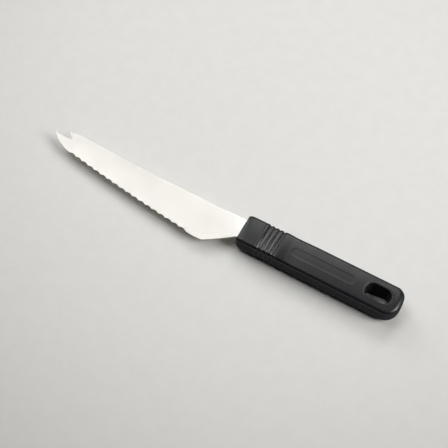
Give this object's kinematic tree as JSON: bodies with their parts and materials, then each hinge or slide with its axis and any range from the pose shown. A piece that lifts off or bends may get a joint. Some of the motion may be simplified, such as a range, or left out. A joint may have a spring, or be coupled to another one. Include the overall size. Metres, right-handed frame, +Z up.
{
  "type": "cheese knife",
  "caption": "Cheese knife with a serrated steel blade, a forked tip and a ribbed black plastic handle with a hanging slot.",
  "frame": {"origin": "middle of the handle's flat underside, halfway between the front face and the butt", "axes": "+X from the tip to the butt, +Y from the cutting edge to the spine, +Z up through the handle's thickness"},
  "size_m": [0.241, 0.0268, 0.0147],
  "materials": {
    "blade_steel": "satin-ground stainless steel",
    "handle_plastic": "matte black moulded plastic with a fine spark-eroded texture"
  },
  "bodies": {
    "root": {"blade": "blade_steel", "handle": "handle_plastic"}
  },
  "joints": []
}
